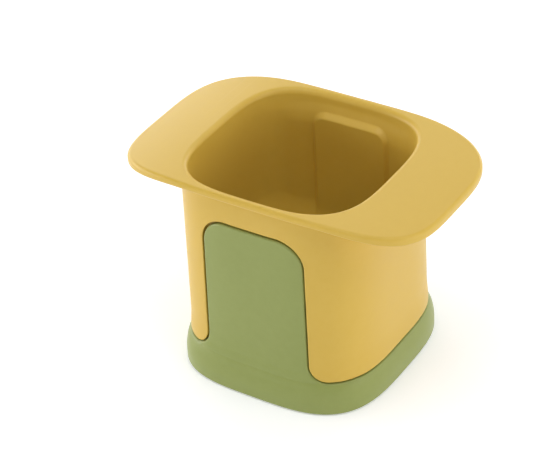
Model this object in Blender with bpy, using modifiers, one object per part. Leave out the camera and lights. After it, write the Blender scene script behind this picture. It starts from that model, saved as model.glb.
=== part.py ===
"""Press-down vegetable dicer.

A housing with a bowl, two side wings and a crossed blade grid slides down over
a base that carries a block of square posts. Two curved guide tongues on the
base run in channels in the front and back walls of the housing.

Frame: origin on the table under the middle of the dicer, +X from wing to wing,
-Y towards the front tongue, +Z up. The housing is fully pressed down. Sizes
below are in millimetres; objects are made in metres.
"""

import math

import bmesh
import bpy

MM = 0.001

# ---- overall sizes
OVERALL_WIDTH = 153.0  # wing tip to wing tip, X
OVERALL_DEPTH = 103.0  # front to back of the base skirt, Y
OVERALL_HEIGHT = 105.0  # table to rim
BODY_POWER = 3.5  # exponents of the rounded-square outlines
FLANGE_POWER = 3.8
SKIRT_POWER = 3.4
STATIONS = 64  # points round each outline

# ---- housing
SEAM_Z = 16.0  # where the housing meets the base
SEAM_GAP = 0.5
BODY_A, BODY_B = 47.95, 47.4  # outer half sizes at the seam
BODY_TAPER_A, BODY_TAPER_B = 0.001, 0.0185  # half size lost per mm of height
BODY_FLARE, BODY_FLARE_HEIGHT = 0.5, 12.0  # the wall swells a little at the seam
FLANGE_A, FLANGE_B = OVERALL_WIDTH / 2, 49.0
WING_START = 30.0  # |x| where the wings begin to droop
WING_DROOP = 5.1
PLATE, PLATE_TIP = 3.3, 4.6  # thickness of the rim and of the wing tips
EDGE_TOP, EDGE_LOW = 1.5, 1.0  # rounding of the plate's edge
WING_FILLET = 7.0  # under the wings, down to the wall
OPEN_A, OPEN_B = 44.2, 44.4  # bowl mouth
BOWL_TOP_A, BOWL_TOP_B = 43.9, 43.2  # bowl wall under the mouth
BOWL_LOW_A, BOWL_LOW_B = 43.5, 42.9
BOWL_TOP_Z, BOWL_LOW_Z = 97.0, 47.0
SKIRT_WALL = 2.5  # housing wall below the bowl floor
LEDGE_TOP_Z, LEDGE_LOW_Z = 35.5, 34.3  # lip of the bowl floor round the blades

# ---- guide tongues and their channels
SLOT_HALF_LOW, SLOT_TAPER = 26.7, 0.0123  # half width at the seam, loss per mm
SLOT_TOP_Z = 88.6
SLOT_ROUND = 13.0  # top corners
LEG_ROUND = 8.5  # bottom corners of the housing beside the channel
TONGUE_GAP, TONGUE_GAP_TOP, TONGUE_GAP_BACK = 0.6, 0.9, 0.4
CHANNEL_A, CHANNEL_B = 50.0, 43.05  # plan curve of the channels' upright back wall
BOSS_B = 41.6  # inside of the wall between a channel and the bowl
BOSS_HALF, BOSS_BLEND = 28.5, 4.5
PAD_B = 40.0  # raised pad on that wall
PAD_HALF, PAD_TOP_Z, PAD_ROUND, PAD_EDGE = 19.0, 95.0, 6.0, 1.9
LOW_BOSS_HALF, LOW_BOSS_B = 37.0, 41.55  # the same wall below the bowl floor
BOSS_TOP_Z, BOSS_ROUND = 94.0, 5.0

# ---- blade grid
PITCH = 10.8
CELLS = 7
CELL_HALF = PITCH * CELLS / 2  # 37.8, half the cutting opening
CELL_POWER = 4.8
FRAME_A, FRAME_B = 45.2, 41.3
FRAME_LOW_Z, FRAME_TOP_Z = 25.0, 34.0
CLAMP_LOW_Z, CLAMP_TOP_Z = 22.3, 24.7
BLADE_THICK = 0.6
BLADE_LOW_Z, BLADE_TOP_Z = 25.3, 33.7
BLADE_CLEAR = 0.3
FRAME_SCREW_X, FRAME_SCREW_Y = 41.6, PITCH
FRAME_SCREW_TOP_Z = 37.8

# ---- base
SKIRT_LOW_Z = 0.6
SKIRT_A, SKIRT_B = 50.7, OVERALL_DEPTH / 2
SHOULDER_Z = SEAM_Z - 0.3
DECK = 2.5
RIM_TOP_Z, RIM_WALL = 18.7, 1.8
POST = 9.3
PUSHER_LOW_Z, PUSHER_PLATE_Z, POST_TOP_Z = 16.0, 18.4, 35.5
PUSHER_SCREW = PITCH * 2
FOOT_AT = 32.0
FOOT_RADIUS, FOOT_BOSS_RADIUS = 6.0, 8.0
FOOT_TOP_Z = 2.6


def clean_scene():
    for obj in list(bpy.data.objects):
        bpy.data.objects.remove(obj, do_unlink=True)


clean_scene()
parts = bpy.data.collections.new("vegetable_dicer")
cutters = bpy.data.collections.new("cutters")
for group in (parts, cutters):
    bpy.context.scene.collection.children.link(group)


def finish_material(name, colour, roughness, metallic=0.0):
    mat = bpy.data.materials.new(name)
    mat.use_nodes = True
    shader = mat.node_tree.nodes["Principled BSDF"]
    shader.inputs["Base Color"].default_value = (*colour, 1.0)
    shader.inputs["Roughness"].default_value = roughness
    shader.inputs["Metallic"].default_value = metallic
    mat.diffuse_color = (*colour, 1.0)
    return mat


YELLOW = finish_material("yellow_plastic", (0.73, 0.48, 0.11), 0.42)
FRAME_YELLOW = finish_material("frame_plastic", (0.70, 0.45, 0.10), 0.45)
GREEN = finish_material("green_plastic", (0.29, 0.33, 0.11), 0.42)
STEEL = finish_material("stainless_steel", (0.62, 0.62, 0.61), 0.25, 1.0)
SCREW_STEEL = finish_material("screw_steel", (0.50, 0.50, 0.50), 0.35, 1.0)
RUBBER = finish_material("foot_rubber", (0.20, 0.22, 0.14), 0.75)


def smoothstep(value, low, high):
    t = min(max((value - low) / (high - low), 0.0), 1.0)
    return t * t * (3 - 2 * t)


def outline_radius(theta, a, b, power=BODY_POWER):
    """Distance from the middle to a rounded-square outline at this angle."""
    c, s = abs(math.cos(theta)), abs(math.sin(theta))
    return ((c / a) ** power + (s / b) ** power) ** (-1 / power)


def outline_depth(x, a, b, power=BODY_POWER):
    """Half depth of a rounded-square outline at this x."""
    return b * max(1 - (abs(x) / a) ** power, 0.0) ** (1 / power)


def body_sizes(z):
    rise = z - SEAM_Z
    flare = BODY_FLARE * (1 - smoothstep(rise, 0.0, BODY_FLARE_HEIGHT))
    return BODY_A - BODY_TAPER_A * rise + flare, BODY_B - BODY_TAPER_B * rise + flare


def stations():
    return [2 * math.pi * i / STATIONS for i in range(STATIONS)]


def new_object(name, bm, material, group=parts):
    bmesh.ops.recalc_face_normals(bm, faces=bm.faces[:])
    mesh = bpy.data.meshes.new(name)
    bm.to_mesh(mesh)
    bm.free()
    mesh.materials.append(material)
    mesh.shade_smooth()
    mesh.set_sharp_from_angle(angle=math.radians(35))
    obj = bpy.data.objects.new(name, mesh)
    group.objects.link(obj)
    if group is cutters:
        obj.hide_render = True
        obj.display_type = "WIRE"
    return obj


def loft(name, rings, material, ends="joined", group=parts):
    """Skins rings of equal length. Ends are joined to each other or capped."""
    bm = bmesh.new()
    rows = [[bm.verts.new([c * MM for c in p]) for p in ring] for ring in rings]
    pairs = list(zip(rows, rows[1:]))
    if ends == "joined":
        pairs.append((rows[-1], rows[0]))
    else:
        bm.faces.new(rows[0])
        bm.faces.new(rows[-1])
    count = len(rows[0])
    for low, high in pairs:
        for i in range(count):
            j = (i + 1) % count
            bm.faces.new((low[i], low[j], high[j], high[i]))
    return new_object(name, bm, material, group)


def level_ring(a, b, z, power=BODY_POWER):
    return [
        (
            outline_radius(t, a, b, power) * math.cos(t),
            outline_radius(t, a, b, power) * math.sin(t),
            z,
        )
        for t in stations()
    ]


def boolean(obj, other, operation="DIFFERENCE"):
    modifier = obj.modifiers.new(other.name, "BOOLEAN")
    modifier.operation = operation
    modifier.object = other
    modifier.solver = "EXACT"


def cylinder(name, radius, low, high, x, y, material, group=cutters, segments=24):
    bm = bmesh.new()
    bmesh.ops.create_cone(
        bm,
        cap_ends=True,
        segments=segments,
        radius1=radius * MM,
        radius2=radius * MM,
        depth=(high - low) * MM,
    )
    bmesh.ops.translate(bm, verts=bm.verts[:], vec=(0, 0, (high + low) / 2 * MM))
    obj = new_object(name, bm, material, group)
    obj.location = (x * MM, y * MM, 0)
    return obj


def add_box(bm, low, high):
    made = bmesh.ops.create_cube(bm, size=1.0)["verts"]
    for vert in made:
        vert.co = [
            (low[k] + (high[k] - low[k]) * (vert.co[k] + 0.5)) * MM for k in range(3)
        ]


# ---- the press housing


def wing_top(x):
    t = min(max((abs(x) - WING_START) / (FLANGE_A - WING_START), 0.0), 1.0)
    return OVERALL_HEIGHT - WING_DROOP * t * t


def plate_at(x):
    """The plate grows thicker towards the wing tips."""
    return PLATE + (PLATE_TIP - PLATE) * smoothstep(abs(x), WING_START, 70.0)


def rim_ring(inset, below, above=None):
    """A ring on the plate, in from its edge, below its top or above its underside."""
    ring = []
    for t in stations():
        r = outline_radius(t, FLANGE_A, FLANGE_B, FLANGE_POWER) - inset
        x, y = r * math.cos(t), r * math.sin(t)
        drop = below if above is None else plate_at(x) - above
        ring.append((x, y, wing_top(x) - drop))
    return ring


def top_ring(share):
    """A ring across the top, from the bowl mouth (0) to the plate's edge (1)."""
    ring = []
    for t in stations():
        low = outline_radius(t, OPEN_A, OPEN_B) + 1.6
        high = outline_radius(t, FLANGE_A, FLANGE_B, FLANGE_POWER) - EDGE_TOP
        r = low + (high - low) * share
        x, y = r * math.cos(t), r * math.sin(t)
        ring.append((x, y, wing_top(x)))
    return ring


def fillet_ring(turn):
    """A ring on the fillet between the wall (0) and the plate's underside (1)."""
    ring = []
    for t in stations():
        a, b = body_sizes(OVERALL_HEIGHT - PLATE)
        wall = outline_radius(t, a, b)
        edge = outline_radius(t, FLANGE_A, FLANGE_B, FLANGE_POWER)
        size = min(WING_FILLET, 0.75 * (edge - wall))
        x = wall * math.cos(t)
        under = wing_top(x) - plate_at(x)
        angle = turn * math.pi / 2
        z = under - size + size * math.sin(angle)
        if turn == 0:
            wall = outline_radius(t, *body_sizes(z))
        r = wall + size * (1 - math.cos(angle))
        ring.append((r * math.cos(t), r * math.sin(t), z))
    return ring


def pad_edge(x, z):
    """How far outside the pad's outline this place is; negative is inside."""
    out = abs(x) - (PAD_HALF - PAD_ROUND)
    up = z - (PAD_TOP_Z - PAD_ROUND)
    corner = math.hypot(max(out, 0.0), max(up, 0.0))
    return corner + min(max(out, up), 0.0) - PAD_ROUND


def inner_radius(theta, z):
    """The bowl's wall, with the boss over each tongue channel standing in."""
    share = min(max((z - BOWL_LOW_Z) / (BOWL_TOP_Z - BOWL_LOW_Z), 0.0), 1.0)
    a = BOWL_LOW_A + (BOWL_TOP_A - BOWL_LOW_A) * share
    b = BOWL_LOW_B + (BOWL_TOP_B - BOWL_LOW_B) * share
    plain = outline_radius(theta, a, b)
    boss = min(outline_radius(theta, a, BOSS_B), plain)
    x = abs(plain * math.cos(theta))
    side = 1 - smoothstep(x, BOSS_HALF, BOSS_HALF + BOSS_BLEND)
    height = 1 - smoothstep(z, BOSS_TOP_Z - BOSS_ROUND, BOSS_TOP_Z)
    wall = plain + (boss - plain) * side * height
    pad = min(outline_radius(theta, a, PAD_B), wall)
    return wall + (pad - wall) * (1 - smoothstep(pad_edge(x, z), -PAD_EDGE, PAD_EDGE))


def inner_ring(z):
    return [
        (inner_radius(t, z) * math.cos(t), inner_radius(t, z) * math.sin(t), z)
        for t in stations()
    ]


def floor_ring(share):
    """A ring on the slope from the bowl wall (0) to the blade opening (1)."""
    ring = []
    for t in stations():
        wall = inner_radius(t, BOWL_LOW_Z)
        mouth = outline_radius(t, CELL_HALF, CELL_HALF, CELL_POWER)
        r = wall - (wall - mouth) * share
        z = BOWL_LOW_Z - (BOWL_LOW_Z - LEDGE_TOP_Z) * share
        ring.append((r * math.cos(t), r * math.sin(t), z))
    return ring


def lower_inner_ring(z):
    """Inside of the wall below the bowl floor, with the same two bosses."""
    ring = []
    for t in stations():
        a, b = body_sizes(z)
        plain = outline_radius(t, a - SKIRT_WALL, b - SKIRT_WALL)
        boss = outline_radius(t, a - SKIRT_WALL, LOW_BOSS_B)
        side = 1 - smoothstep(
            abs(plain * math.cos(t)), LOW_BOSS_HALF, LOW_BOSS_HALF + BOSS_BLEND
        )
        r = plain + (boss - plain) * side
        ring.append((r * math.cos(t), r * math.sin(t), z))
    return ring


housing_low = SEAM_Z + SEAM_GAP / 2
housing = loft(
    "press_housing",
    [level_ring(*body_sizes(z), z) for z in (housing_low, 20.0, 26.0)]
    + [fillet_ring(turn) for turn in (0, 0.33, 0.67, 1)]
    + [rim_ring(EDGE_LOW, 0, above=0.0), rim_ring(0, 0, above=EDGE_LOW)]
    + [rim_ring(0, EDGE_TOP), rim_ring(0.44, 0.44)]
    + [top_ring(share) for share in (1, 0.66, 0.33, 0)]
    + [
        level_ring(OPEN_A + 0.47, OPEN_B + 0.47, OVERALL_HEIGHT - 0.47),
        level_ring(OPEN_A, OPEN_B, OVERALL_HEIGHT - 1.7),
    ]
    + [inner_ring(z) for z in (97.6, 96.3, 95, 93.7, 92, 90, 87, 68, BOWL_LOW_Z)]
    + [floor_ring(share) for share in (0.5, 1)]
    + [level_ring(CELL_HALF, CELL_HALF, LEDGE_LOW_Z, CELL_POWER)]
    + [lower_inner_ring(LEDGE_LOW_Z), lower_inner_ring(housing_low)],
    YELLOW,
)


# ---- tongues and channels share one outline


def slot_half(z, shrink, shrink_top):
    """Half width of the slot outline at this height, less a clearance."""
    top = SLOT_TOP_Z - shrink_top
    half = SLOT_HALF_LOW - SLOT_TAPER * (z - SEAM_Z) - shrink
    corner = SLOT_ROUND - (shrink + shrink_top) / 2
    over = z - (top - corner)
    if over > 0:
        half -= corner - math.sqrt(max(corner**2 - over**2, 0.0))
    # the leg's rounded bottom corner
    leg = LEG_ROUND + shrink
    under = housing_low + LEG_ROUND - z
    if under > 0:
        half += leg - math.sqrt(max(leg**2 - min(under, leg) ** 2, 0.0))
    return half


def slot_heights(low, shrink_top):
    top = SLOT_TOP_Z - shrink_top
    corner = SLOT_ROUND - shrink_top / 2
    bend = housing_low + LEG_ROUND
    heights = [low]
    heights += [bend - LEG_ROUND * math.cos(math.radians(a)) for a in (12, 30, 50, 70)]
    heights += [bend, 50.0]
    heights += [
        top - corner + corner * math.sin(math.radians(a)) for a in range(0, 91, 15)
    ]
    return [z for i, z in enumerate(heights) if i == 0 or z > low + 0.5]


def curved_plate(name, side, heights, half_at, outer_at, inner_at, material, group):
    """A plate that follows the housing wall: side -1 is the front."""
    steps = 12
    bm = bmesh.new()
    rows = []
    for z in heights:
        half = half_at(z)
        row = []
        for i in range(steps + 1):
            x = half * (2 * i / steps - 1)
            row.append(bm.verts.new((x * MM, side * outer_at(x, z) * MM, z * MM)))
        for i in range(steps, -1, -1):
            x = half * (2 * i / steps - 1)
            row.append(bm.verts.new((x * MM, side * inner_at(x, z) * MM, z * MM)))
        rows.append(row)
    count = len(rows[0])
    for low, high in zip(rows, rows[1:]):
        for i in range(count):
            j = (i + 1) % count
            bm.faces.new((low[i], low[j], high[j], high[i]))
    for row in (rows[0], rows[-1]):
        for i in range(steps):
            bm.faces.new((row[i], row[i + 1], row[-2 - i], row[-1 - i]))
    return new_object(name, bm, material, group)


def wall_at(x, z):
    return outline_depth(x, *body_sizes(max(z, SEAM_Z)))


def channel_back(x):
    """The same at every height, so that the housing lifts straight off."""
    return outline_depth(x, CHANNEL_A, CHANNEL_B)


def tongue_face(x, z):
    """Flush with the wall above, swelling to the skirt below the seam."""
    flare = smoothstep(-z, -20.0, -6.0)
    skirt = outline_depth(x, SKIRT_A, SKIRT_B, SKIRT_POWER) - 0.4
    wall = wall_at(x, z)
    return wall + (skirt - wall) * flare


for side, label in ((-1, "front"), (1, "back")):
    channel = curved_plate(
        "channel_" + label,
        side,
        slot_heights(housing_low - 3, 0),
        lambda z: slot_half(z, 0, 0),
        lambda x, z: wall_at(x, z) + 6,
        lambda x, z: channel_back(x),
        YELLOW,
        cutters,
    )
    boolean(housing, channel)

# ---- blade frame, clamp ring and their screws

frame = loft(
    "blade_frame",
    [
        level_ring(FRAME_A, FRAME_B, FRAME_LOW_Z),
        level_ring(FRAME_A, FRAME_B, FRAME_TOP_Z),
        level_ring(CELL_HALF, CELL_HALF, FRAME_TOP_Z, CELL_POWER),
        level_ring(CELL_HALF, CELL_HALF, FRAME_LOW_Z, CELL_POWER),
    ],
    FRAME_YELLOW,
)
clamp = loft(
    "blade_clamp_ring",
    [
        level_ring(FRAME_A, FRAME_B, CLAMP_LOW_Z),
        level_ring(FRAME_A, FRAME_B, CLAMP_TOP_Z),
        level_ring(CELL_HALF, CELL_HALF, CLAMP_TOP_Z, CELL_POWER),
        level_ring(CELL_HALF + 0.6, CELL_HALF + 0.6, CLAMP_LOW_Z, CELL_POWER),
    ],
    FRAME_YELLOW,
)

blade_places = [PITCH * (i - (CELLS - 2) / 2) for i in range(CELLS - 1)]


def blade_end(place, along_x):
    """Where a blade stops, half way into the frame's rim."""
    if along_x:
        outer = outline_depth(place, FRAME_B, FRAME_A)
    else:
        outer = outline_depth(place, FRAME_A, FRAME_B)
    inner = outline_depth(place, CELL_HALF, CELL_HALF, CELL_POWER)
    return (inner + outer) / 2


def make_blade(name, place, along_x):
    """A flat strip with half-height slots where the other blades cross it."""
    end = blade_end(place, along_x)
    middle = (BLADE_LOW_Z + BLADE_TOP_Z) / 2
    reach = BLADE_THICK / 2 + BLADE_CLEAR
    outline = []
    slots = [p for p in blade_places]
    if along_x:
        outline += [(-end, BLADE_LOW_Z), (end, BLADE_LOW_Z), (end, BLADE_TOP_Z)]
        depth = middle - BLADE_CLEAR / 2
        for p in reversed(slots):
            outline += [(p + reach, BLADE_TOP_Z), (p + reach, depth)]
            outline += [(p - reach, depth), (p - reach, BLADE_TOP_Z)]
        outline += [(-end, BLADE_TOP_Z)]
    else:
        outline += [(end, BLADE_TOP_Z), (-end, BLADE_TOP_Z), (-end, BLADE_LOW_Z)]
        depth = middle + BLADE_CLEAR / 2
        for p in slots:
            outline += [(p - reach, BLADE_LOW_Z), (p - reach, depth)]
            outline += [(p + reach, depth), (p + reach, BLADE_LOW_Z)]
        outline += [(end, BLADE_LOW_Z)]
    bm = bmesh.new()
    half = BLADE_THICK / 2
    if along_x:
        verts = [bm.verts.new((u * MM, -half * MM, z * MM)) for u, z in outline]
        shift = (0, BLADE_THICK * MM, 0)
    else:
        verts = [bm.verts.new((-half * MM, u * MM, z * MM)) for u, z in outline]
        shift = (BLADE_THICK * MM, 0, 0)
    face = bm.faces.new(verts)
    made = bmesh.ops.extrude_face_region(bm, geom=[face])["geom"]
    moved = [item for item in made if isinstance(item, bmesh.types.BMVert)]
    bmesh.ops.translate(bm, verts=moved, vec=shift)
    blade = new_object(name, bm, STEEL)
    blade.location = (0, place * MM, 0) if along_x else (place * MM, 0, 0)
    return blade


slits = bmesh.new()
for place in blade_places:
    wide = BLADE_THICK / 2 + BLADE_CLEAR
    long_x = blade_end(place, True) + BLADE_CLEAR
    long_y = blade_end(place, False) + BLADE_CLEAR
    bm_low, bm_high = FRAME_LOW_Z - 1, FRAME_TOP_Z + 1
    add_box(slits, (-long_x, place - wide, bm_low), (-30, place + wide, bm_high))
    add_box(slits, (30, place - wide, bm_low), (long_x, place + wide, bm_high))
    add_box(slits, (place - wide, -long_y, bm_low), (place + wide, -30, bm_high))
    add_box(slits, (place - wide, 30, bm_low), (place + wide, long_y, bm_high))
blade_slits = new_object("blade_slits", slits, FRAME_YELLOW, cutters)
boolean(frame, blade_slits)

for i, place in enumerate(blade_places, start=1):
    make_blade(f"blade_x_{i}", place, True)
    make_blade(f"blade_y_{i}", place, False)


def make_screw(name, x, y, head_low, head_high, tip, material, radius=1.2):
    """Pan head below, shank up, with a cross recess in the head."""
    segments = 14
    head = 2.5
    profile = [
        (0.0, head_low),
        (head * 0.72, head_low),
        (head, head_low + 0.7),
        (head, head_high),
        (radius, head_high),
        (radius, tip - 1.2),
        (0.35, tip),
        (0.0, tip),
    ]
    bm = bmesh.new()
    verts = [bm.verts.new((r * MM, 0, z * MM)) for r, z in reversed(profile)]
    for one, two in zip(verts, verts[1:]):
        bm.edges.new((one, two))
    mesh = bpy.data.meshes.new(name)
    bm.to_mesh(mesh)
    bm.free()
    mesh.materials.append(material)
    screw = bpy.data.objects.new(name, mesh)
    parts.objects.link(screw)
    screw.location = (x * MM, y * MM, 0)
    turned = screw.modifiers.new("turned", "SCREW")
    turned.steps = turned.render_steps = segments
    turned.use_merge_vertices = True
    turned.merge_threshold = 0.00001
    turned.use_smooth_shade = False
    bars = bmesh.new()
    low = head_low - 1
    add_box(bars, (-1.5, -0.35, low), (1.5, 0.35, head_low + 0.9))
    bar_a = new_object(name + "_slot_a", bars, material, cutters)
    bars = bmesh.new()
    add_box(bars, (-0.35, -1.5, low), (0.35, 1.5, head_low + 0.9))
    bar_b = new_object(name + "_slot_b", bars, material, cutters)
    for bar in (bar_a, bar_b):
        bar.location = screw.location
        boolean(screw, bar)
    return screw


corners = [(1, 1), (-1, 1), (-1, -1), (1, -1)]
for i, (sx, sy) in enumerate(corners, start=1):
    x, y = sx * FRAME_SCREW_X, sy * FRAME_SCREW_Y
    make_screw(
        f"frame_screw_{i}", x, y, 20.0, CLAMP_LOW_Z - 0.3, FRAME_SCREW_TOP_Z, SCREW_STEEL
    )
    hole = cylinder(
        f"frame_screw_hole_{i}", 1.5, 19.0, FRAME_SCREW_TOP_Z + 0.3, x, y, YELLOW
    )
    for piece in (frame, clamp, housing):
        boolean(piece, hole)

# ---- base

base = loft(
    "base",
    [
        level_ring(FRAME_A - RIM_WALL, FRAME_B - RIM_WALL, SHOULDER_Z),
        level_ring(FRAME_A - RIM_WALL, FRAME_B - RIM_WALL, RIM_TOP_Z),
        level_ring(FRAME_A, FRAME_B, RIM_TOP_Z),
        level_ring(FRAME_A, FRAME_B, SHOULDER_Z),
        level_ring(BODY_A + BODY_FLARE, BODY_B + BODY_FLARE, SHOULDER_Z),
        level_ring(49.25, 49.1, 13.6),
        level_ring(49.95, 50.2, 11.2, SKIRT_POWER),
        level_ring(50.5, 51.2, 8.2, SKIRT_POWER),
        level_ring(SKIRT_A, SKIRT_B, 5.0, SKIRT_POWER),
        level_ring(SKIRT_A, SKIRT_B, 1.6, SKIRT_POWER),
        level_ring(SKIRT_A - 0.6, SKIRT_B - 0.6, SKIRT_LOW_Z, SKIRT_POWER),
        level_ring(SKIRT_A - 2.4, SKIRT_B - 2.4, SKIRT_LOW_Z, SKIRT_POWER),
        level_ring(SKIRT_A - 2.6, SKIRT_B - 2.6, 8.5, SKIRT_POWER),
        level_ring(47.2, 47.0, 12.0),
        level_ring(45.2, 44.9, SHOULDER_Z - DECK),
    ],
    GREEN,
    ends="capped",
)

for side, label in ((-1, "front"), (1, "back")):
    tongue = curved_plate(
        "tongue_" + label,
        side,
        [SHOULDER_Z - 2.2] + slot_heights(SHOULDER_Z, TONGUE_GAP_TOP),
        lambda z: slot_half(max(z, SHOULDER_Z), TONGUE_GAP, TONGUE_GAP_TOP),
        tongue_face,
        lambda x, z: channel_back(x) + TONGUE_GAP_BACK,
        GREEN,
        cutters,
    )
    boolean(base, tongue, "UNION")

for i, (sx, sy) in enumerate(corners, start=1):
    x, y = sx * FOOT_AT, sy * FOOT_AT
    boss = cylinder(f"foot_boss_{i}", FOOT_BOSS_RADIUS, 0.9, 14.5, x, y, GREEN)
    boolean(base, boss, "UNION")
    recess = cylinder(
        f"foot_recess_{i}", FOOT_RADIUS + 0.3, 0.0, FOOT_TOP_Z + 0.3, x, y, GREEN
    )
    boolean(base, recess)
    cylinder(f"foot_pad_{i}", FOOT_RADIUS, 0.0, FOOT_TOP_Z, x, y, RUBBER, parts)

# ---- pusher block

grid = bmesh.new()
first = -PITCH * (CELLS - 1) / 2
for i in range(CELLS):
    for j in range(CELLS):
        cx, cy = first + PITCH * i, first + PITCH * j
        add_box(
            grid,
            (cx - POST / 2, cy - POST / 2, PUSHER_PLATE_Z - 0.8),
            (cx + POST / 2, cy + POST / 2, POST_TOP_Z),
        )
posts = new_object("posts", grid, GREEN, cutters)
reach = first - POST / 2
trim = loft(
    "post_trim",
    [
        level_ring(-reach, -reach, PUSHER_LOW_Z - 2, CELL_POWER),
        level_ring(-reach, -reach, POST_TOP_Z + 2, CELL_POWER),
    ],
    GREEN,
    ends="capped",
    group=cutters,
)
pusher = loft(
    "pusher_block",
    [
        level_ring(-reach + 0.4, -reach + 0.4, PUSHER_LOW_Z, CELL_POWER),
        level_ring(-reach + 0.4, -reach + 0.4, PUSHER_PLATE_Z, CELL_POWER),
    ],
    GREEN,
    ends="capped",
)
boolean(posts, trim, "INTERSECT")
boolean(pusher, posts, "UNION")

for i, (sx, sy) in enumerate(corners, start=1):
    x, y = sx * PUSHER_SCREW, sy * PUSHER_SCREW
    head_top = SHOULDER_Z - DECK - 0.3
    make_screw(f"pusher_screw_{i}", x, y, head_top - 2.0, head_top, 23.0, SCREW_STEEL)
    hole = cylinder(f"pusher_screw_hole_{i}", 1.5, 12.0, 23.3, x, y, GREEN)
    boolean(base, hole)
    boolean(pusher, hole)

# the housing slides straight up off the tongues: its origin stays on that axis
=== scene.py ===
"""Looks of the press-down vegetable dicer: smooth moulded pieces, finishes, light and camera.

Lengths in this file are millimetres unless a name says otherwise; meshes are
made in metres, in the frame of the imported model.
"""

import math

import bmesh
import bpy
import numpy as np
from mathutils import Matrix, Vector


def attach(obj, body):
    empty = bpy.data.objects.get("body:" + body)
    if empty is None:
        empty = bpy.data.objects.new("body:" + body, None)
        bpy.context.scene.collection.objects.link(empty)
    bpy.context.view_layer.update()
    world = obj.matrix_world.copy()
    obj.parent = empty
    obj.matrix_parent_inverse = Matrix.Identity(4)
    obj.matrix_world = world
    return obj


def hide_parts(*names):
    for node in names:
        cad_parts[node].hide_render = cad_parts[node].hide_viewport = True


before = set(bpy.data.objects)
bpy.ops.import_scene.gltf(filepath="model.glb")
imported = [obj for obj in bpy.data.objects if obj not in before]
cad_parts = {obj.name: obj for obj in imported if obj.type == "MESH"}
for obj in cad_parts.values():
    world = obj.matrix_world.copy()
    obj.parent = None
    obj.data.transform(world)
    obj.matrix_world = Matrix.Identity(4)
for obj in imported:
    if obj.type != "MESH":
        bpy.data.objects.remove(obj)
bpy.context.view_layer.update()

MM = 0.001

# ---- sizes shared with the solid model
HEIGHT = 105.0
BODY_POWER, FLANGE_POWER, CELL_POWER = 3.5, 3.8, 4.8
SEAM_Z = 16.0
HOUSING_LOW = 16.25
BODY_A, BODY_B = 47.95, 47.4
TAPER_A, TAPER_B = 0.001, 0.0185
FLARE, FLARE_HEIGHT = 0.5, 12.0
FLANGE_A, FLANGE_B = 76.5, 49.0
WING_START, WING_DROOP = 30.0, 5.1
PLATE, PLATE_TIP = 3.3, 4.6
WING_FILLET = 7.0
OPEN_A, OPEN_B = 44.2, 44.4
BOWL_LOW_Z, LEDGE_TOP_Z, LEDGE_LOW_Z = 47.0, 35.5, 34.3
SKIRT_WALL = 2.5
SLOT_HALF, SLOT_TAPER = 26.7, 0.0123
SLOT_TOP_Z, SLOT_ROUND, LEG_ROUND = 88.6, 13.0, 8.5
TONGUE_GAP, TONGUE_GAP_TOP, TONGUE_GAP_BACK = 0.75, 1.2, 0.4
SLOT_EDGE, TONGUE_EDGE, MOUTH_EDGE = 0.4, 0.8, 2.6
RIM_LOW_EDGE, RIM_TOP_EDGE = 1.4, 1.6
CHANNEL_A, CHANNEL_B = 50.0, 43.05
BOSS_B, BOSS_HALF, BOSS_BLEND = 41.6, 28.5, 4.5
BOSS_LOW_Z, BOSS_TOP_Z = 88.6, 99.5
PAD_B, PAD_HALF, PAD_TOP_Z, PAD_ROUND, PAD_EDGE = 40.0, 19.0, 95.0, 6.0, 1.35
LOW_BOSS_B, LOW_BOSS_HALF = 41.55, 37.0
CELL_HALF, PITCH, CELLS = 37.8, 10.8, 7
FRAME_A, FRAME_B = 45.2, 41.3
SHOULDER_Z = 15.65
SKIRT_A, SKIRT_B, SKIRT_LOW_Z = 50.7, 51.5, 0.6
FOOT_AT, FOOT_RADIUS, FOOT_TOP_Z = 32.0, 6.0, 2.6
CORNERS = [(1, 1), (-1, 1), (-1, -1), (1, -1)]


# ---- fields: negative inside, about a distance in millimetres near the surface


def smooth(value, low, high):
    t = np.clip((value - low) / (high - low), 0.0, 1.0)
    return t * t * (3 - 2 * t)


def outline(x, y, a, b, power):
    """(how far outside the rounded-square outline, its level: 1 on the outline)."""
    u, v = np.maximum(np.abs(x) / a, 1e-4), np.abs(y) / b
    m = np.maximum(u, v)
    u, v = u / m, v / m
    s = (u**power + v**power) ** (1 / power)
    gx = (u / s) ** (power - 1) / a
    gy = (v / s) ** (power - 1) / b
    level = m * s
    return (level - 1) / np.sqrt(gx * gx + gy * gy), level


def join(a, b, r):
    """Union with a round fillet of radius r."""
    return np.maximum(r, np.minimum(a, b)) - np.hypot(
        np.maximum(r - a, 0), np.maximum(r - b, 0)
    )


def meet(a, b, r):
    """Intersection with its edge rounded to radius r."""
    return np.minimum(-r, np.maximum(a, b)) + np.hypot(
        np.maximum(r + a, 0), np.maximum(r + b, 0)
    )


def body_sizes(z):
    rise = z - SEAM_Z
    flare = FLARE * (1 - smooth(rise, 0.0, FLARE_HEIGHT))
    return BODY_A - TAPER_A * rise + flare, BODY_B - TAPER_B * rise + flare


def channel_back(x):
    """Half depth of the channels' upright back wall at x."""
    inside = np.maximum(1 - (np.abs(x) / CHANNEL_A) ** BODY_POWER, 1e-3)
    return CHANNEL_B * inside ** (1 / BODY_POWER)


def slot(x, z, top):
    """The channel's outline seen from the front, with the legs' round corners."""
    half = SLOT_HALF - SLOT_TAPER * (z - SEAM_Z)
    qx = np.abs(x) - (half - SLOT_ROUND)
    qz = z - (top - SLOT_ROUND)
    upper = (
        np.hypot(np.maximum(qx, 0), np.maximum(qz, 0))
        + np.minimum(np.maximum(qx, qz), 0)
        - SLOT_ROUND
    )
    return join(upper, z - HOUSING_LOW, LEG_ROUND)


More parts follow.
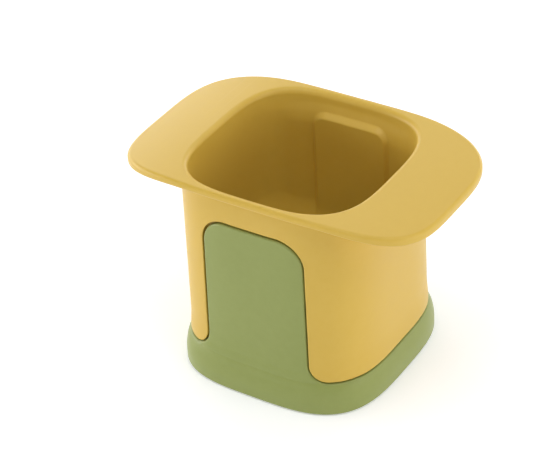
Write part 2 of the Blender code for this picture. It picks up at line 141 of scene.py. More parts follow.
def pad_edge(x, z):
    """How far outside the raised pad's outline, on the bowl's front and back walls."""
    qx = np.abs(x) - (PAD_HALF - PAD_ROUND)
    qz = z - (PAD_TOP_Z - PAD_ROUND)
    return (
        np.hypot(np.maximum(qx, 0), np.maximum(qz, 0))
        + np.minimum(np.maximum(qx, qz), 0)
        - PAD_ROUND
    )


def housing_field(x, y, z):
    a, b = body_sizes(z)
    wall, _ = outline(x, y, a, b, BODY_POWER)
    out = np.clip((np.abs(x) - WING_START) / (FLANGE_A - WING_START), 0.0, 1.05)
    top = HEIGHT - WING_DROOP * out * out
    level = 1 / np.sqrt(1 + (2 * WING_DROOP * out / (FLANGE_A - WING_START)) ** 2)
    plate = PLATE + (PLATE_TIP - PLATE) * smooth(np.abs(x), WING_START, 70.0)
    flange, _ = outline(x, y, FLANGE_A, FLANGE_B, FLANGE_POWER)
    fillet = np.clip(0.75 * (wall - flange), 0.6, WING_FILLET)
    solid = join(wall, (top - plate - z) * level, fillet)
    solid = meet(solid, flange, RIM_LOW_EDGE)
    solid = meet(solid, (z - top) * level, RIM_TOP_EDGE)

    # the bowl, with the boss over each channel standing into it and its raised pad
    share = np.clip((z - BOWL_LOW_Z) / 50.0, 0.0, 1.0)
    lip = smooth(z, 94.0, 104.0)
    in_a = 43.5 + 0.4 * share + 0.3 * lip
    in_b = 42.9 + 0.3 * share + 1.2 * lip
    side = 1 - smooth(np.abs(x), BOSS_HALF - 1.5, BOSS_HALF + 2 * BOSS_BLEND)
    high = 1 - smooth(z, BOSS_LOW_Z, BOSS_TOP_Z)
    depth = in_b + (BOSS_B - in_b) * side * high
    pad = 1 - smooth(pad_edge(x, z), -PAD_EDGE, PAD_EDGE)
    depth = depth + (PAD_B - depth) * pad
    bowl, _ = outline(x, y, in_a, depth, BODY_POWER)
    _, wall_level = outline(x, y, 43.5, 42.9, BODY_POWER)
    mouth, mouth_level = outline(x, y, CELL_HALF, CELL_HALF, CELL_POWER)
    slope = (1 - wall_level) * mouth_level / np.maximum(mouth_level - wall_level, 0.02)
    floor = BOWL_LOW_Z - (BOWL_LOW_Z - LEDGE_TOP_Z) * np.clip(slope, -0.6, 1.0)
    hollow = meet(bowl, (floor - z) * 0.45, 1.6)
    hollow = join(hollow, np.maximum(mouth, z - 45.0), 0.7)
    low_a, low_b = a - SKIRT_WALL, b - SKIRT_WALL
    low_side = 1 - smooth(np.abs(x), LOW_BOSS_HALF, LOW_BOSS_HALF + BOSS_BLEND)
    low_b = low_b + (LOW_BOSS_B - low_b) * low_side
    under, _ = outline(x, y, low_a, low_b, BODY_POWER)
    hollow = join(hollow, meet(under, z - LEDGE_LOW_Z, 1.0), 0.4)
    solid = meet(solid, -hollow, MOUTH_EDGE)

    solid = np.maximum(solid, HOUSING_LOW - z)
    pilot = np.hypot(np.abs(x) - 41.6, np.abs(y) - PITCH) - 1.3
    solid = np.maximum(solid, -np.maximum(pilot, z - 38.3))
    channel = meet(slot(x, z, SLOT_TOP_Z), channel_back(x) - np.abs(y), 0.6)
    return meet(solid, -channel, SLOT_EDGE)


def base_field(x, y, z):
    a, b = body_sizes(z)
    q = np.clip((z - 5.0) / 10.7, 0.0, 1.0)
    below = z < 15.7
    a = np.where(below, SKIRT_A - 2.25 * q * q, a)
    b = np.where(below, SKIRT_B - 3.6 * q * q, b)
    swell = 0.72 * smooth(z, 11.8, 15.9) * (1 - smooth(z, 15.9, 20.5))
    b = b + swell * (1 - smooth(np.abs(x), 24.0, 37.0))
    power = 3.4 + 0.1 * smooth(z, 8.0, 14.0)
    outer, _ = outline(x, y, a, b, power)
    solid = meet(outer, SKIRT_LOW_Z - z, 0.5)
    face = slot(x, z, SLOT_TOP_Z - TONGUE_GAP_TOP + TONGUE_GAP) + TONGUE_GAP
    solid = meet(solid, face, TONGUE_EDGE)
    inside = meet(
        np.abs(y) - channel_back(x) - TONGUE_GAP_BACK, SHOULDER_Z - z, 1.0
    )
    solid = meet(solid, -inside, 0.6)
    hollow = meet(outer + 2.6, z - 13.2, 2.0)
    solid = meet(solid, -hollow, 0.5)
    ring, _ = outline(x, y, FRAME_A - 0.9, FRAME_B - 0.9, BODY_POWER)
    rim = np.maximum(meet(np.abs(ring) - 0.9, z - 18.7, 0.45), 14.0 - z)
    solid = join(solid, rim, 0.6)
    boss = np.hypot(np.abs(x) - FOOT_AT, np.abs(y) - FOOT_AT)
    post = np.maximum(meet(boss - 8.0, 0.9 - z, 0.4), z - 14.5)
    solid = join(solid, post, 1.2)
    recess = np.maximum(boss - (FOOT_RADIUS + 0.3), z - (FOOT_TOP_Z + 0.3))
    solid = meet(solid, -recess, 0.3)
    screw = np.hypot(np.abs(x) - 2 * PITCH, np.abs(y) - 2 * PITCH)
    collar = np.maximum(meet(np.abs(screw - 3.6) - 0.7, 11.6 - z, 0.3), z - 14.0)
    return join(solid, collar, 0.5)


# ---- fields to meshes

def gradient(field, points, eps):
    out = np.empty_like(points)
    for k in range(3):
        ahead, behind = points.copy(), points.copy()
        ahead[:, k] += eps
        behind[:, k] -= eps
        out[:, k] = field(*ahead.T) - field(*behind.T)
    return out / (2 * eps)


def settle(field, points, cell, rounds):
    """Moves points onto the surface."""
    for _ in range(rounds):
        value = field(*points.T)
        slope = gradient(field, points, 0.02)
        step = value / np.maximum((slope**2).sum(1), 0.05)
        move = slope * step[:, None]
        size = np.maximum(np.linalg.norm(move, axis=1), 1e-9)
        points = points - move * np.minimum(1, 0.6 * cell / size)[:, None]
    return points


def surface(field, low, high, cell):
    """Closed quad mesh of a field that mirrors in X and Y, by dual contouring."""
    xs = np.arange(0, high[0] + cell, cell, dtype=np.float32)
    ys = np.arange(0, high[1] + cell, cell, dtype=np.float32)
    zs = np.arange(low[2], high[2] + cell, cell, dtype=np.float32)
    values = np.empty((len(xs), len(ys), len(zs)), np.float32)
    gy, gz = np.meshgrid(ys, zs, indexing="ij")
    for i, x in enumerate(xs):
        values[i] = field(np.full_like(gy, x), gy, gz)
    values = np.concatenate([values[:0:-1], values], 0)
    values = np.concatenate([values[:, :0:-1], values], 1)
    start = np.array([-xs[-1], -ys[-1], zs[0]], float)
    inside = values < 0
    count = np.zeros(np.subtract(inside.shape, 1), np.int8)
    for c in np.ndindex(2, 2, 2):
        count += inside[
            c[0] : inside.shape[0] - 1 + c[0],
            c[1] : inside.shape[1] - 1 + c[1],
            c[2] : inside.shape[2] - 1 + c[2],
        ]
    active = (count > 0) & (count < 8)
    cells = np.argwhere(active)
    number = np.full(active.shape, -1, np.int64)
    number[active] = np.arange(len(cells))

    # each crossed grid edge gives its four cells a point and a slope
    sums = np.zeros((13, len(cells)))
    quads = []
    for k in range(3):
        i, j = (k + 1) % 3, (k + 2) % 3
        near = [slice(None)] * 3
        far = [slice(None)] * 3
        near[k], far[k] = slice(0, -1), slice(1, None)
        first, second = inside[tuple(near)], inside[tuple(far)]
        at = np.argwhere(first != second)
        outward = first[tuple(at.T)]
        di, dj, dk = np.eye(3, dtype=int)[[i, j, k]]
        va = values[tuple(at.T)].astype(float)
        vb = values[tuple((at + dk).T)].astype(float)
        spot = at + (va / (va - vb))[:, None] * dk
        n = gradient(field, start + cell * spot, 0.05)
        n /= np.maximum(np.linalg.norm(n, axis=1), 1e-9)[:, None]
        d = (n * spot).sum(1)
        rows = [
            n[:, 0] * n[:, 0],
            n[:, 0] * n[:, 1],
            n[:, 0] * n[:, 2],
            n[:, 1] * n[:, 1],
            n[:, 1] * n[:, 2],
            n[:, 2] * n[:, 2],
            n[:, 0] * d,
            n[:, 1] * d,
            n[:, 2] * d,
            spot[:, 0],
            spot[:, 1],
            spot[:, 2],
            np.ones(len(d)),
        ]
        around = [number[tuple((at - s).T)] for s in (di + dj, dj, 0 * di, di)]
        for where in around:
            for row, weight in enumerate(rows):
                sums[row] += np.bincount(where, weight, len(cells))
        quad = np.stack(around, 1)
        quad[~outward] = quad[~outward][:, ::-1]
        quads.append(quad)

    # the point of each cell that lies best on all its slopes
    hits = sums[12]
    mass = (sums[9:12] / hits).T
    slopes = sums[[0, 1, 2, 1, 3, 4, 2, 4, 5]].T.reshape(-1, 3, 3)
    rest = sums[6:9].T - np.einsum("nij,nj->ni", slopes, mass)
    slopes = slopes + 0.03 * hits[:, None, None] * np.eye(3)
    move = np.linalg.solve(slopes, rest[..., None])[..., 0]
    points = start + cell * (cells + np.clip(mass + move - cells, 0.02, 0.98))
    return settle(field, points, cell, 2), np.concatenate(quads)


def mesh_object(name, points, faces, normals=None):
    mesh = bpy.data.meshes.new(name)
    mesh.from_pydata((points * MM).tolist(), [], faces.tolist())
    mesh.update()
    mesh.shade_smooth()
    if normals is not None:
        mesh.normals_split_custom_set(normals.tolist())
    obj = bpy.data.objects.new(name, mesh)
    bpy.context.scene.collection.objects.link(obj)
    return obj


def moulded(name, field, low, high, cell, keep):
    """A field as a piece: meshed, thinned where it is flat, and shaded by the field."""
    points, faces = surface(field, low, high, cell)
    rough = mesh_object(name + "_rough", points, faces)
    thin = rough.modifiers.new("thin", "DECIMATE")
    thin.ratio = keep
    graph = bpy.context.evaluated_depsgraph_get()
    made = rough.evaluated_get(graph).to_mesh()
    made.calc_loop_triangles()
    at = np.empty(len(made.vertices) * 3)
    made.vertices.foreach_get("co", at)
    tris = np.empty(len(made.loop_triangles) * 3, np.int32)
    made.loop_triangles.foreach_get("vertices", tris)
    at, tris = at.reshape(-1, 3) / MM, tris.reshape(-1, 3)
    old = rough.data
    bpy.data.objects.remove(rough)
    bpy.data.meshes.remove(old)
    at = settle(field, at, cell * 0.5, 2)
    return mesh_object(name, at, tris, corner_normals(field, at, tris))


def unit(vectors):
    return vectors / np.maximum(np.linalg.norm(vectors, axis=1), 1e-9)[:, None]


def corner_normals(field, at, tris):
    """The field's slope at each corner, taken further in where the corner is on a crease."""
    corners = tris.reshape(-1)
    faces = np.repeat(np.arange(len(tris)), 3)
    a, b, c = at[tris[:, 0]], at[tris[:, 1]], at[tris[:, 2]]
    flat = unit(np.cross(b - a, c - a))[faces]
    centre = ((a + b + c) / 3)[faces]
    out = unit(gradient(field, at, 0.06))[corners]
    off = np.flatnonzero((out * flat).sum(1) < 0.82)
    spot = at[corners[off]] + 0.35 * (centre[off] - at[corners[off]])
    out[off] = unit(gradient(field, spot, 0.06))
    off = off[(out[off] * flat[off]).sum(1) < 0.7]
    out[off] = flat[off]
    return out


# ---- small mesh pieces


def ring_points(a, b, power, count=176):
    t = 2 * np.pi * np.arange(count) / count
    c, s = np.cos(t), np.sin(t)
    r = ((np.abs(c) / a) ** power + (np.abs(s) / b) ** power) ** (-1 / power)
    return np.stack([r * c, r * s], 1)


def loft(name, rings, closed=False):
    """rings: lists of (x, y, z) of one length. closed joins the last to the first."""
    n = len(rings[0])
    points = np.array([p for ring in rings for p in ring], float)
    rows = len(rings)
    faces = []
    for k in range(rows if closed else rows - 1):
        one, two = k * n, ((k + 1) % rows) * n
        for i in range(n):
            j = (i + 1) % n
            faces.append((one + i, one + j, two + j, two + i))
    if not closed:
        faces.append(tuple(range(n - 1, -1, -1)))
        faces.append(tuple((rows - 1) * n + i for i in range(n)))
    mesh = bpy.data.meshes.new(name)
    mesh.from_pydata((points * MM).tolist(), [], faces)
    bm = bmesh.new()
    bm.from_mesh(mesh)
    bmesh.ops.recalc_face_normals(bm, faces=bm.faces[:])
    bm.to_mesh(mesh)
    bm.free()
    mesh.shade_smooth()
    mesh.set_sharp_from_angle(angle=math.radians(50))
    obj = bpy.data.objects.new(name, mesh)
    bpy.context.scene.collection.objects.link(obj)
    return obj


def level(points, z):
    return [(x, y, z) for x, y in points]


def lathe(name, profile, segments=56):
    """profile: (radius, z) from the axis to the axis, turned about Z."""
    rows = []
    for r, z in profile:
        r = max(r, 0.02)
        rows.append(
            [
                (
                    r * math.cos(2 * math.pi * i / segments),
                    r * math.sin(2 * math.pi * i / segments),
                    z,
                )
                for i in range(segments)
            ]
        )
    return loft(name, rows)


def cut(obj, other, operation="DIFFERENCE"):
    modifier = obj.modifiers.new("cut", "BOOLEAN")
    modifier.operation = operation
    modifier.solver = "EXACT"
    modifier.object = other
    graph = bpy.context.evaluated_depsgraph_get()
    made = bpy.data.meshes.new_from_object(obj.evaluated_get(graph))
    obj.modifiers.clear()
    old = obj.data
    obj.data = made
    bpy.data.meshes.remove(old)
    gone = other.data
    bpy.data.objects.remove(other)
    bpy.data.meshes.remove(gone)
    obj.data.shade_smooth()
    obj.data.set_sharp_from_angle(angle=math.radians(35))
    return obj


def boxes(name, spans):
    points, faces = [], []
    for (x0, y0, z0), (x1, y1, z1) in spans:
        s = len(points)
        points += [
            (x, y, z) for z in (z0, z1) for y in (y0, y1) for x in (x0, x1)
        ]
        for quad in (
            (0, 2, 3, 1),
            (4, 5, 7, 6),
            (0, 1, 5, 4),
            (2, 6, 7, 3),
            (0, 4, 6, 2),
            (1, 3, 7, 5),
        ):
            faces.append([s + q for q in quad])
    return mesh_object(name, np.array(points, float), np.array(faces))


def outline_depth(x, a, b, power=BODY_POWER):
    return b * max(1 - (abs(x) / a) ** power, 0.0) ** (1 / power)


def shift(obj, x, y):
    obj.data.transform(Matrix.Translation((x * MM, y * MM, 0)))
    return obj


# ---- finishes


def nodes_of(material):
    tree = material.node_tree
    return tree, tree.nodes["Principled BSDF"]


def add(tree, kind, **values):
    node = tree.nodes.new(kind)
    for key, value in values.items():
        if key in node.inputs:
            node.inputs[key].default_value = value
        else:
            setattr(node, key, value)
    return node


def noise(tree, where, scale, detail=2.0, rough=0.5):
    node = tree.nodes.new("ShaderNodeTexNoise")
    node.inputs["Scale"].default_value = scale
    node.inputs["Detail"].default_value = detail
    node.inputs["Roughness"].default_value = rough
    tree.links.new(where, node.inputs["Vector"])
    return node.outputs["Fac"]


def between(tree, value, low, high, from_low=0.3, from_high=0.7):
    node = tree.nodes.new("ShaderNodeMapRange")
    node.inputs["From Min"].default_value = from_low
    node.inputs["From Max"].default_value = from_high
    node.inputs["To Min"].default_value = low
    node.inputs["To Max"].default_value = high
    tree.links.new(value, node.inputs["Value"])
    return node.outputs["Result"]


def mix_colour(tree, factor, one, two):
    node = tree.nodes.new("ShaderNodeMix")
    node.data_type = "RGBA"
    for socket, value in ((node.inputs[6], one), (node.inputs[7], two)):
        if isinstance(value, tuple):
            socket.default_value = (*value, 1.0)
        else:
            tree.links.new(value, socket)
    tree.links.new(factor, node.inputs[0])
    return node.outputs[2]


def bump(tree, height, strength, distance, under=None):
    node = tree.nodes.new("ShaderNodeBump")
    node.inputs["Strength"].default_value = strength
    node.inputs["Distance"].default_value = distance
    tree.links.new(height, node.inputs["Height"])
    if under is not None:
        tree.links.new(under, node.inputs["Normal"])
    return node.outputs["Normal"]


def moulded_plastic(name, colour, pale, deep, roughness):
    """Satin injection-moulded plastic: fine spark texture, faint flow, and a painted
    highlight that makes convex edges paler.
    """
    material = bpy.data.materials.new(name)
    material.use_nodes = True
    tree, shader = nodes_of(material)
    where = tree.nodes.new("ShaderNodeTexCoord").outputs["Object"]
    flow = noise(tree, where, 28.0, 3.0, 0.55)
    mottle = noise(tree, where, 240.0, 3.0, 0.6)
    grain = noise(tree, where, 1900.0, 2.0, 0.6)
    coarse = noise(tree, where, 620.0, 2.0, 0.5)
    tone = mix_colour(tree, between(tree, flow, 0.0, 0.45), colour, deep)
    tone = mix_colour(tree, between(tree, mottle, 0.0, 0.12), tone, pale)
    # Painted highlight: convex edges, found by pointiness, are mixed towards the pale colour.
    edge_highlight = tree.nodes.new("ShaderNodeNewGeometry").outputs["Pointiness"]
    tone = mix_colour(tree, between(tree, edge_highlight, 0.0, 0.30, 0.515, 0.60), tone, pale)
    tree.links.new(tone, shader.inputs["Base Color"])
    tree.links.new(
        between(tree, mottle, roughness - 0.035, roughness + 0.045),
        shader.inputs["Roughness"],
    )
    rough_skin = bump(tree, grain, 0.16, 0.00006)
    tree.links.new(
        bump(tree, coarse, 0.10, 0.00010, rough_skin), shader.inputs["Normal"]
    )
    shader.inputs["IOR"].default_value = 1.47
    shader.inputs["Specular IOR Level"].default_value = 0.4
    return material


def brushed_steel(name, stretch, roughness):
    material = bpy.data.materials.new(name)
    material.use_nodes = True
    tree, shader = nodes_of(material)
    where = tree.nodes.new("ShaderNodeTexCoord").outputs["Object"]
    scale = tree.nodes.new("ShaderNodeMapping")
    scale.inputs["Scale"].default_value = stretch
    tree.links.new(where, scale.inputs["Vector"])
    lines = noise(tree, scale.outputs["Vector"], 900.0, 4.0, 0.65)
    cloud = noise(tree, where, 120.0, 2.0, 0.5)
    tone = mix_colour(
        tree, between(tree, lines, 0.0, 1.0), (0.60, 0.60, 0.59), (0.74, 0.74, 0.73)
    )
    tree.links.new(tone, shader.inputs["Base Color"])
    tree.links.new(
        between(tree, cloud, roughness - 0.05, roughness + 0.08),
        shader.inputs["Roughness"],
    )
    tree.links.new(bump(tree, lines, 0.25, 0.00003), shader.inputs["Normal"])
    shader.inputs["Metallic"].default_value = 1.0
    return material


def soft_rubber(name):
    material = bpy.data.materials.new(name)
    material.use_nodes = True
    tree, shader = nodes_of(material)
    where = tree.nodes.new("ShaderNodeTexCoord").outputs["Object"]
    dust = noise(tree, where, 160.0, 4.0, 0.6)
    grain = noise(tree, where, 2400.0, 2.0, 0.6)
    tone = mix_colour(
        tree, between(tree, dust, 0.0, 1.0), (0.16, 0.18, 0.12), (0.24, 0.26, 0.19)
    )
    tree.links.new(tone, shader.inputs["Base Color"])
    tree.links.new(between(tree, dust, 0.66, 0.82), shader.inputs["Roughness"])
    tree.links.new(bump(tree, grain, 0.3, 0.00008), shader.inputs["Normal"])
    return material


YELLOW = moulded_plastic(
    "yellow_satin", (0.655, 0.432, 0.066), (0.72, 0.512, 0.114), (0.63, 0.409, 0.057), 0.36
)
FRAME_YELLOW = moulded_plastic(
    "yellow_frame", (0.645, 0.424, 0.065), (0.71, 0.504, 0.111), (0.62, 0.399, 0.055), 0.43
)
GREEN = moulded_plastic(
    "green_satin", (0.277, 0.320, 0.086), (0.365, 0.405, 0.140), (0.260, 0.302, 0.078), 0.34
)
STEEL_X = brushed_steel("blade_steel_x", (0.05, 1.0, 1.0), 0.24)
STEEL_Y = brushed_steel("blade_steel_y", (1.0, 0.05, 1.0), 0.24)
SCREW = brushed_steel("screw_steel_bright", (1.0, 1.0, 0.3), 0.34)
RUBBER = soft_rubber("foot_rubber_soft")


def put(obj, body, nodes, material):
    obj.data.materials.clear()
    obj.data.materials.append(material)
    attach(obj, body)
    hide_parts(*nodes)
    return obj


# ---- the two big mouldings

CELL = 0.52
housing = moulded(
    "housing_shell",
    housing_field,
    (-77.5, -50, 15.0),
    (77.5, 50, 106.0),
    CELL,
    0.2,
)
put(housing, "housing", ["press_housing"], YELLOW)
base = moulded(
    "base_shell",
    base_field,
    (-52, -53, -0.6),
    (52, 53, 89.0),
    CELL,
    0.2,
)
put(base, "base", ["base"], GREEN)

# ---- pusher: a plate with 49 posts


def post_outline(cx, cy, half, corner, limit):
    """A square with round corners, trimmed to the rounded cutting opening."""

    def outside(x, y):
        return (abs(x) / limit) ** CELL_POWER + (abs(y) / limit) ** CELL_POWER > 1

    points = []
    ox, oy = 0.9 * cx, 0.9 * cy
    for sx, sy, start in ((1, 1, 0), (-1, 1, 90), (-1, -1, 180), (1, -1, 270)):
        for step in range(7):
            angle = math.radians(start + 15 * step)
            x = cx + sx * (half - corner) + corner * math.cos(angle)
            y = cy + sy * (half - corner) + corner * math.sin(angle)
            if outside(x, y):
                short, far = 0.0, 1.0
                for _ in range(24):
                    t = (short + far) / 2
                    if outside(ox + (x - ox) * t, oy + (y - oy) * t):
                        far = t
                    else:
                        short = t
                x, y = ox + (x - ox) * short, oy + (y - oy) * short
            points.append((x, y))
    return points


reach = CELL_HALF - (PITCH - 9.3) / 2
plate = ring_points(reach + 0.4, reach + 0.4, CELL_POWER)
inner = ring_points(reach, reach, CELL_POWER)
posts = loft(
    "pusher_posts",
    [
        level(inner, 16.05),
        level(plate, 16.45),
        level(plate, 18.0),
        level(inner, 18.4),
    ],
)
pieces = []
first = -PITCH * (CELLS - 1) / 2
for i in range(CELLS):
    for j in range(CELLS):
        cx, cy = first + PITCH * i, first + PITCH * j
        rings = []
        for inset, z in (
            (-0.7, 17.6),
            (-0.35, 18.5),
            (-0.08, 19.2),
            (0.0, 20.2),
            (0.0, 34.6),
            (0.06, 34.95),
            (0.22, 35.26),
            (0.48, 35.44),
            (0.80, 35.5),
            (1.30, 35.5),
        ):
            half = 4.65 - inset
            corner = max(0.9 - 0.5 * inset, 0.3)
            rings.append(
                level(post_outline(cx, cy, half, corner, reach - inset), z)
            )
        pieces.append(loft(f"post_{i}_{j}", rings))
with bpy.context.temp_override(
    active_object=pieces[0], selected_editable_objects=pieces, object=pieces[0]
):
    bpy.ops.object.join()
cut(posts, pieces[0], "UNION")
put(posts, "base", ["pusher_block"], GREEN)

# ---- blade frame and clamp ring


def band(name, a, b, low, high, opening, edge=0.5):
    outer = lambda inset, z: level(
        ring_points(a - inset, b - inset, BODY_POWER), z
    )
    inside = lambda inset, z: level(
        ring_points(opening + inset, opening + inset, CELL_POWER), z
    )
    turn = [(math.sin(t), 1 - math.cos(t)) for t in np.radians([0, 30, 60, 90])]
    rings = []
    for s, c in turn:
        rings.append(outer(edge * (1 - s), low + edge * c))
    for s, c in reversed(turn):
        rings.append(outer(edge * (1 - s), high - edge * c))
    for s, c in turn:
        rings.append(inside(edge * (1 - s), high - edge * c))
    for s, c in reversed(turn):
        rings.append(inside(edge * (1 - s), low + edge * c))
    return loft(name, rings, closed=True)


blade_places = [PITCH * (i - (CELLS - 2) / 2) for i in range(CELLS - 1)]


def blade_end(place, along_x):
    if along_x:
        outer = outline_depth(place, FRAME_B, FRAME_A)
    else:
        outer = outline_depth(place, FRAME_A, FRAME_B)
    return (outline_depth(place, CELL_HALF, CELL_HALF, CELL_POWER) + outer) / 2


spans = []
for place in blade_places:
    wide = 0.42
    long_x, long_y = blade_end(place, True) + 0.3, blade_end(place, False) + 0.3
    spans += [
        ((-long_x, place - wide, 24.0), (-30, place + wide, 35.0)),
        ((30, place - wide, 24.0), (long_x, place + wide, 35.0)),
        ((place - wide, -long_y, 24.0), (place + wide, -30, 35.0)),
        ((place - wide, 30, 24.0), (place + wide, long_y, 35.0)),
    ]
ring = band("frame_ring", FRAME_A, FRAME_B, 25.0, 34.0, CELL_HALF)
cut(ring, boxes("slits", spans))
put(ring, "housing", ["blade_frame"], FRAME_YELLOW)
clamp = band("clamp_ring", FRAME_A, FRAME_B, 22.3, 24.7, CELL_HALF, 0.4)
put(clamp, "housing", ["blade_clamp_ring"], FRAME_YELLOW)

# ---- blades: flat strips, ground along the lower edge, halved where they cross

LOW, GROUND, MIDDLE, TOP = 25.3, 27.6, 29.5, 33.7
HALF, SLIT = 0.28, 0.36


def blade(name, place, along_x):
    end = blade_end(place, along_x)

    def section(low, top, edge, shoulder):
        return [
            (-edge, low),
            (edge, low),
            (HALF, shoulder),
            (HALF, top - 0.08),
            (HALF - 0.08, top),
            (-HALF + 0.08, top),
            (-HALF, top - 0.08),
            (-HALF, shoulder),
        ]

    whole = section(LOW, TOP, 0.04, GROUND)
    if along_x:
        notched = section(LOW, MIDDLE - 0.1, 0.04, GROUND)
    else:
        notched = section(MIDDLE + 0.1, TOP, HALF - 0.02, MIDDLE + 0.14)
    stations = [(-end, whole)]
    for p in blade_places:
        stations += [
            (p - SLIT - 0.02, whole),
            (p - SLIT, notched),
            (p + SLIT, notched),
            (p + SLIT + 0.02, whole),
        ]
    stations.append((end, whole))
    rings = [
        [(u, place + w, z) if along_x else (place + w, u, z) for w, z in ring]
        for u, ring in stations
    ]
    obj = loft(name, rings)
    obj.data.set_sharp_from_angle(angle=math.radians(12))
    return obj


for i, place in enumerate(blade_places, start=1):
    for label, along, steel in (("x", True, STEEL_X), ("y", False, STEEL_Y)):
        strip = blade(f"knife_{label}_{i}", place, along)
        put(strip, "housing", [f"blade_{label}_{i}"], steel)

# ---- screws and feet


def screw(name, x, y, low, head_top, tip):
    pan = [
        (0.0, low),
        (1.3, low + 0.02),
        (1.9, low + 0.14),
        (2.3, low + 0.42),
        (2.48, low + 0.85),
        (2.5, head_top - 0.15),
        (2.42, head_top),
        (1.2, head_top),
    ]
    z, thread = head_top + 0.5, []
    while z < tip - 1.6:
        thread += [(1.0, z), (1.2, z + 0.28), (1.0, z + 0.56)]
        z += 0.7
    thread += [(0.9, tip - 1.2), (0.3, tip), (0.0, tip)]
    made = lathe(name, pan + thread)
    deep = low + 0.95
    cross = boxes(
        name + "_cross", [((-1.45, -0.3, low - 1), (1.45, 0.3, deep))]
    )
    cut(made, cross)
    cross = boxes(
        name + "_bar", [((-0.3, -1.45, low - 1), (0.3, 1.45, deep))]
    )
    cut(made, cross)
    return shift(made, x, y)


for i, (sx, sy) in enumerate(CORNERS, start=1):
    made = screw(f"frame_fixing_{i}", sx * 41.6, sy * PITCH, 20.0, 22.0, 37.8)
    put(made, "housing", [f"frame_screw_{i}"], SCREW)
    made = screw(
        f"pusher_fixing_{i}", sx * PITCH * 2, sy * PITCH * 2, 10.9, 12.9, 23.0
    )
    put(made, "base", [f"pusher_screw_{i}"], SCREW)
    foot = lathe(
        f"foot_{i}",
        [
            (0.0, 0.35),
            (2.2, 0.35),
            (2.5, 0.05),
            (2.8, 0.0),
            (4.9, 0.0),
            (5.5, 0.12),
            (5.88, 0.45),
            (6.0, 0.95),
            (6.0, 2.3),
            (5.85, 2.6),
            (0.0, 2.6),
        ],
    )
    shift(foot, sx * FOOT_AT, sy * FOOT_AT)
    put(foot, "base", [f"foot_pad_{i}"], RUBBER)

# ---- stage, light and camera

floor = bpy.data.meshes.new("floor")
floor.from_pydata(
    [(-4, -4, 0), (4, -4, 0), (4, 4, 0), (-4, 4, 0)], [], [(0, 1, 2, 3)]
)
floor_object = bpy.data.objects.new("floor", floor)
bpy.context.scene.collection.objects.link(floor_object)
paper = bpy.data.materials.new("floor_paper")
paper.use_nodes = True
tree, shader = nodes_of(paper)
where = tree.nodes.new("ShaderNodeTexCoord").outputs["Object"]
tree.links.new(
    mix_colour(tree, noise(tree, where, 3.0), (0.91, 0.91, 0.92), (0.93, 0.93, 0.94)),
    shader.inputs["Base Color"],
)
# Painted light: the floor glows, washing out its own shade near the object and glowing more
# further out, which also adds fill from below.
shader.inputs["Emission Color"].default_value = (0.93, 0.96, 1.0, 1.0)
glow_reach = tree.nodes.new("ShaderNodeVectorMath")
glow_reach.operation = "LENGTH"
tree.links.new(where, glow_reach.inputs[0])
tree.links.new(
    between(tree, glow_reach.outputs["Value"], 0.26, 0.85, 0.6, 2.2),
    shader.inputs["Emission Strength"],
)
shader.inputs["Roughness"].default_value = 0.9
shader.inputs["Specular IOR Level"].default_value = 0.1
floor.materials.append(paper)

world = bpy.data.worlds.new("studio")
bpy.context.scene.world = world
world.use_nodes = True
sky = world.node_tree.nodes["Background"]
sky.inputs["Strength"].default_value = 1.0
facing = world.node_tree.nodes.new("ShaderNodeSeparateXYZ")
world.node_tree.links.new(
    world.node_tree.nodes.new("ShaderNodeTexCoord").outputs["Generated"],
    facing.inputs["Vector"],
)
fade = world.node_tree.nodes.new("ShaderNodeMapRange")
fade.interpolation_type = "SMOOTHSTEP"
for socket, value in (
    ("From Min", 0.03),
    ("From Max", 0.42),
    ("To Min", 0.74),
    ("To Max", 0.28),
):
    fade.inputs[socket].default_value = value
world.node_tree.links.new(facing.outputs["Z"], fade.inputs["Value"])
world.node_tree.links.new(fade.outputs["Result"], sky.inputs["Color"])


def softbox(name, place, target, size, power):
    light = bpy.data.lights.new(name, "AREA")
    light.shape = "RECTANGLE"
    light.size, light.size_y = size
    light.energy = power
    obj = bpy.data.objects.new(name, light)
    obj.location = place
    obj.rotation_euler = (
        (Vector(target) - Vector(place)).to_track_quat("-Z", "Y").to_euler()
    )
    bpy.context.scene.collection.objects.link(obj)


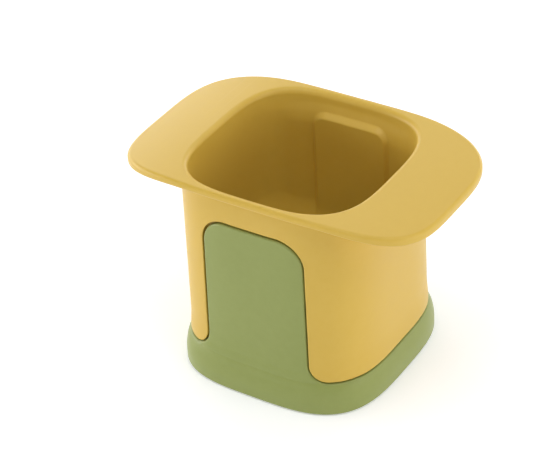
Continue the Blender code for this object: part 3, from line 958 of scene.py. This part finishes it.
# name, compass angle (0 in front, 90 to the right), height angle, size, watts
SOFTBOXES = [
    ("left_low", 275, 12, (0.7, 0.45), 3.4),
    ("front_left_low", 302, 12, (0.6, 0.4), 2.6),
    ("back_left_low", 236, 13, (0.8, 0.4), 2.0),
    ("right_low", 92, 12, (0.7, 0.45), 2.1),
    ("back_right_low", 135, 12, (0.6, 0.4), 1.0),
    ("back_low", 180, 12, (0.7, 0.45), 2.2),
    ("back_high", 180, 42, (0.7, 0.7), 1.6),
    ("back_left_high", 222, 38, (0.7, 0.6), 1.4),
    ("right_high", 84, 58, (0.7, 0.7), 3.0),
    ("front_top", 345, 72, (0.6, 0.6), 2.7),
]
middle = Vector((0.0, 0.0, 0.06))
for name, compass, height, size, watts in SOFTBOXES:
    turn, rise = math.radians(compass), math.radians(height)
    away = Vector(
        (
            math.sin(turn) * math.cos(rise),
            -math.cos(turn) * math.cos(rise),
            math.sin(rise),
        )
    )
    softbox(name, middle + away * 1.1, middle, size, watts)

AZ, EL, ROLL, FOCAL = 0.590559539, 0.607252908, -0.061658820, 2097.04289
EYE = Vector((0.418150410, -0.655573346, 0.602194206))
AXIS_X, AXIS_Y = -0.24215, -2.11704
IMAGE_WIDTH = 535
look = Vector(
    (-math.sin(AZ) * math.cos(EL), math.cos(AZ) * math.cos(EL), -math.sin(EL))
)
right = Vector((math.cos(AZ), math.sin(AZ), 0))
up = right.cross(look)
right, up = (
    math.cos(ROLL) * right + math.sin(ROLL) * up,
    -math.sin(ROLL) * right + math.cos(ROLL) * up,
)
camera_data = bpy.data.cameras.new("photo_camera")
camera_data.sensor_width = 36
camera_data.lens = FOCAL / IMAGE_WIDTH * 36
camera_data.shift_x = -AXIS_X / IMAGE_WIDTH
camera_data.shift_y = AXIS_Y / IMAGE_WIDTH
camera_data.clip_start, camera_data.clip_end = 0.01, 20
camera = bpy.data.objects.new("photo_camera", camera_data)
camera.matrix_world = Matrix(
    (
        (right[0], up[0], -look[0], EYE[0]),
        (right[1], up[1], -look[1], EYE[1]),
        (right[2], up[2], -look[2], EYE[2]),
        (0, 0, 0, 1),
    )
)
bpy.context.scene.collection.objects.link(camera)
bpy.context.scene.camera = camera
bpy.context.scene.view_settings.view_transform = "Standard"
bpy.context.scene.view_settings.look = "None"

bpy.context.view_layer.update()
